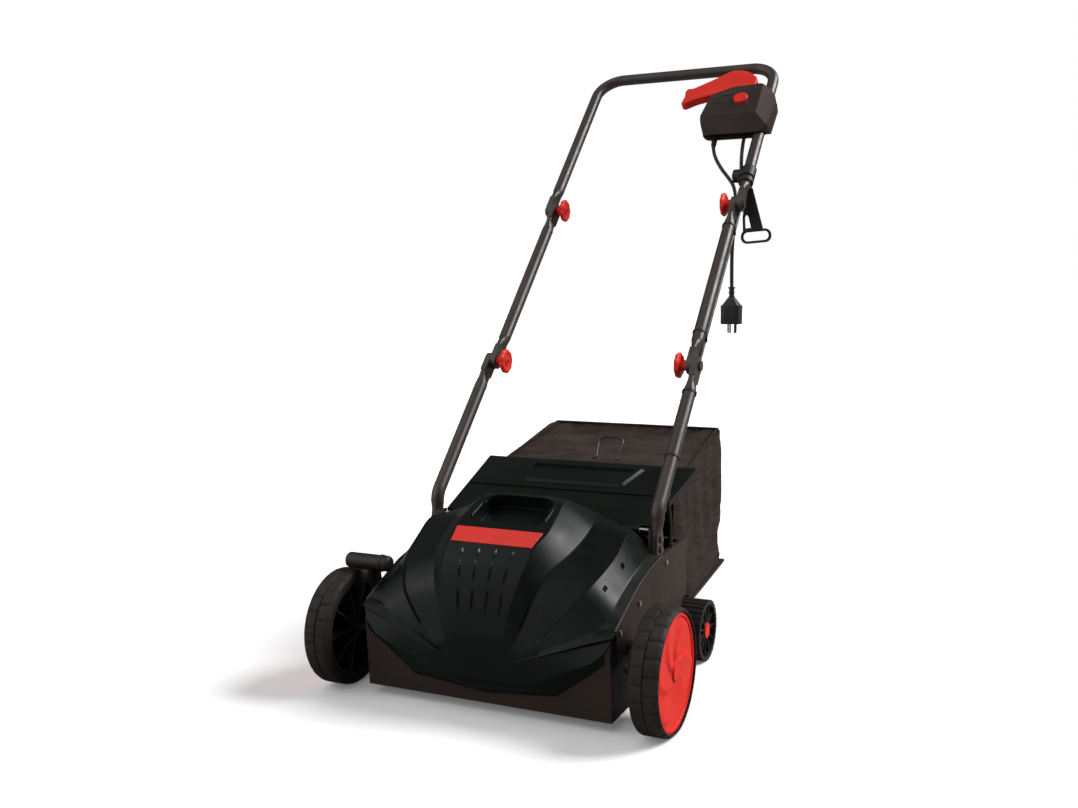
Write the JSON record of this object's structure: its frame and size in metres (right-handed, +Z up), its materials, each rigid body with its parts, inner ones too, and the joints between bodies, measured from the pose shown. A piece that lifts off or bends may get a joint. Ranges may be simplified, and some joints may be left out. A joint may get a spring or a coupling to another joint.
{
  "type": "lawn dethatcher",
  "caption": "Walk-behind electric scarifier with tine roller under a moulded hood, folding tube handle with switch box, depth lever, rear flap and mesh grass bag.",
  "frame": {"origin": "on the ground, in the middle of the outline without the mains cord", "axes": "+Z up, the machine's front faces -Y, the handle and the bag reach towards +Y, +X is the right-hand side seen from the front"},
  "size_m": [0.566, 1.023, 1.0833],
  "materials": {
    "housing": "moulded, matt brown-black",
    "hood": "moulded, satin black",
    "badge": "smooth red label, blank",
    "orange_red": "moulded, semi-gloss",
    "tyre": "moulded rubber-like tread",
    "black_plastic": "moulded, matt",
    "tube_paint": "gloss powder coat, dark espresso",
    "steel_painted": "black paint",
    "zinc": "bright zinc plate",
    "alloy": "die-cast",
    "lamination": "varnished laminations and windings",
    "belt": "toothless drive belt",
    "cable": "rubber sheath",
    "bag_fabric": "woven mesh"
  },
  "bodies": {
    "chassis": {"deck": "housing", "depth_index_plate": "steel_painted", "rear_hangers": "steel_painted", "rear_axle": "zinc", "bearing_blocks": "alloy", "drive_belt": "belt", "motor_housing": "steel_painted", "motor_bearings": "zinc", "motor_stator": "lamination", "hood": "hood", "badge": "badge", "hood_screws": "zinc", "flap_hinge_rod": "zinc", "handle_brackets": "steel_painted", "lower_bolts": "steel_painted", "lower_tubes": "tube_paint", "motor_cable_lower": "cable", "cable_ties": "black_plastic"},
    "front_axle": {"front_axle": "steel_painted", "depth_lever": "black_plastic"},
    "front_wheel_left": {"front_tyre_left": "tyre", "front_rim_left": "black_plastic", "front_cap_left": "orange_red"},
    "front_wheel_right": {"front_tyre_right": "tyre", "front_rim_right": "black_plastic", "front_cap_right": "orange_red"},
    "rear_wheel_left": {"rear_wheel_left": "black_plastic", "rear_cap_left": "orange_red"},
    "rear_wheel_right": {"rear_wheel_right": "black_plastic", "rear_cap_right": "orange_red"},
    "roller": {"tine_shaft": "zinc", "tine_hubs": "black_plastic", "spring_tines": "zinc", "roller_pulley": "alloy"},
    "rotor": {"motor_rotor": "lamination", "cooling_fan": "black_plastic", "motor_pulley": "alloy"},
    "flap": {"flap": "hood"},
    "bag": {"bag": "bag_fabric", "bag_tray": "housing"},
    "bail": {"bag_bail": "steel_painted"},
    "middle_handle": {"middle_tubes": "tube_paint", "motor_cable_middle": "cable", "middle_ties": "black_plastic"},
    "upper_handle": {"upper_handle": "tube_paint", "upper_bolts": "steel_painted", "switch_box_front": "housing", "switch_box_rear": "housing", "cord_relief": "cable", "plug_cord": "cable", "plug": "cable", "motor_cable_upper": "cable", "cable_clip": "black_plastic"},
    "lower_knob_left": {"lower_knob_left": "orange_red"},
    "lower_knob_right": {"lower_knob_right": "orange_red"},
    "upper_knob_left": {"upper_knob_left": "orange_red"},
    "upper_knob_right": {"upper_knob_right": "orange_red"},
    "switch_lever": {"switch_lever": "orange_red"},
    "lock_button": {"lock_button": "orange_red"},
    "cord_hook": {"cord_hook": "black_plastic"}
  },
  "joints": [
    {"name": "depth_lever_turn", "type": "hinge", "parent": "chassis", "child": "front_axle", "pos_m": [0, -0.38754, 0.104], "axis": [1, 0, 0], "range_deg": [-14, 8]},
    {"name": "front_wheel_left_spin", "type": "hinge", "parent": "front_axle", "child": "front_wheel_left", "pos_m": [-0.26, -0.42154, 0.09], "axis": [1, 0, 0], "continuous": true},
    {"name": "rear_wheel_left_spin", "type": "hinge", "parent": "chassis", "child": "rear_wheel_left", "pos_m": [-0.21, -0.09984, 0.0506], "axis": [1, 0, 0], "continuous": true},
    {"name": "front_wheel_right_spin", "type": "hinge", "parent": "front_axle", "child": "front_wheel_right", "pos_m": [0.26, -0.42154, 0.09], "axis": [1, 0, 0], "continuous": true},
    {"name": "rear_wheel_right_spin", "type": "hinge", "parent": "chassis", "child": "rear_wheel_right", "pos_m": [0.21, -0.09984, 0.0506], "axis": [1, 0, 0], "continuous": true},
    {"name": "roller_spin", "type": "hinge", "parent": "chassis", "child": "roller", "pos_m": [0, -0.31154, 0.072], "axis": [1, 0, 0], "continuous": true},
    {"name": "rotor_spin", "type": "hinge", "parent": "chassis", "child": "rotor", "pos_m": [0, -0.34654, 0.203], "axis": [1, 0, 0], "continuous": true},
    {"name": "flap_lift", "type": "hinge", "parent": "chassis", "child": "flap", "pos_m": [0, -0.24954, 0.246], "axis": [1, 0, 0], "range_deg": [0, 20]},
    {"name": "bag_slide", "type": "slide", "parent": "chassis", "child": "bag", "axis": [0, 1, 0], "range_m": [0, 0.2]},
    {"name": "bail_swing", "type": "hinge", "parent": "bag", "child": "bail", "pos_m": [0.018, -0.01954, 0.316], "axis": [1, 0, 0], "range_deg": [-22, 60]},
    {"name": "lower_fold", "type": "hinge", "parent": "chassis", "child": "middle_handle", "pos_m": [0, -0.05229, 0.48775], "axis": [1, 0, 0], "range_deg": [0, 136]},
    {"name": "upper_fold", "type": "hinge", "parent": "middle_handle", "child": "upper_handle", "pos_m": [0, 0.21746, 0.773], "axis": [-1, 0, 0], "range_deg": [-130, 0]},
    {"name": "lower_knob_left_turn", "type": "hinge", "parent": "chassis", "child": "lower_knob_left", "pos_m": [-0.165, -0.05229, 0.48775], "axis": [1, 0, 0], "continuous": true},
    {"name": "upper_knob_left_turn", "type": "hinge", "parent": "upper_handle", "child": "upper_knob_left", "pos_m": [-0.165, 0.21746, 0.773], "axis": [1, 0, 0], "continuous": true},
    {"name": "lower_knob_right_turn", "type": "hinge", "parent": "chassis", "child": "lower_knob_right", "pos_m": [0.165, -0.05229, 0.48775], "axis": [1, 0, 0], "continuous": true},
    {"name": "upper_knob_right_turn", "type": "hinge", "parent": "upper_handle", "child": "upper_knob_right", "pos_m": [0.165, 0.21746, 0.773], "axis": [1, 0, 0], "continuous": true},
    {"name": "switch_lever_pull", "type": "hinge", "parent": "upper_handle", "child": "switch_lever", "pos_m": [0.152, 0.44429, 1.0347], "axis": [0, 0.7266, -0.6871], "range_deg": [0, 12], "stiffness_Nm_per_rad": 1.2, "springref_deg": -28.65},
    {"name": "lock_button_press", "type": "slide", "parent": "upper_handle", "child": "lock_button", "axis": [0, 0.7266, -0.6871], "range_m": [0, 0.004], "stiffness_N_per_m": 400, "springref_m": -0.003},
    {"name": "cord_hook_swing", "type": "hinge", "parent": "upper_handle", "child": "cord_hook", "pos_m": [0.194, 0.25937, 0.81732], "axis": [0, 0.6871, 0.7266], "range_deg": [-20, 2]}
  ],
  "couplings": [
    {"joint": "rotor_spin", "follows": "roller_spin", "ratio": 2}
  ]
}
